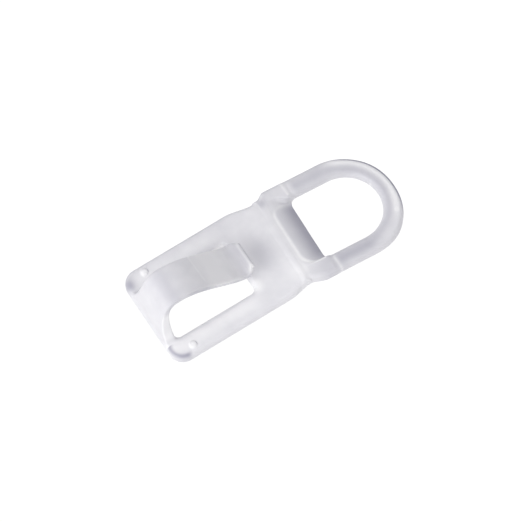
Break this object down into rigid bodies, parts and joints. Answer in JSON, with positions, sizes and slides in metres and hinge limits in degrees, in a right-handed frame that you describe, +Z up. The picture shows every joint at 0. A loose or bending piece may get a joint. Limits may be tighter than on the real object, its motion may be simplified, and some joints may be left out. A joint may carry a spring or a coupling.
{
  "type": "spring clip with ring",
  "caption": "Small clear plastic spring clip: a sprung tongue folds back over a windowed frame to grip a strap or edge, with a D-shaped ring at the other end.",
  "frame": {"origin": "middle of the bounding box, at its base, on the surface that the clip rests on", "axes": "+X from the hook end to the ring, +Z up, on the side of the frame that carries the tongue, +Y to the left of +X"},
  "size_m": [0.0494, 0.0192, 0.0124],
  "materials": {
    "clear_plastic": "milky see-through, satin to glossy, moulded"
  },
  "bodies": {
    "base": {"end_bar": "clear_plastic", "rail_left": "clear_plastic", "rail_right": "clear_plastic", "shoulder_plate": "clear_plastic", "crossbar": "clear_plastic", "ring_arm_left": "clear_plastic", "ring_arm_right": "clear_plastic", "ring_bow": "clear_plastic"},
    "wall": {"hook_wall": "clear_plastic"},
    "tongue": {"tongue_blade": "clear_plastic", "tongue_tip": "clear_plastic"}
  },
  "joints": [
    {"name": "wall_flex", "type": "hinge", "parent": "base", "child": "wall", "pos_m": [-0.02358, 0.00014, 0.00257], "axis": [0, -1, 0], "range_deg": [-1.3, 5], "stiffness_Nm_per_rad": 0.2},
    {"name": "tongue_flex", "type": "hinge", "parent": "wall", "child": "tongue", "pos_m": [-0.02192, 0.00014, 0.01099], "axis": [0, -1, 0], "range_deg": [-3.9, 15], "stiffness_Nm_per_rad": 0.06}
  ],
  "couplings": [
    {"joint": "tongue_flex", "follows": "wall_flex", "ratio": 3}
  ]
}
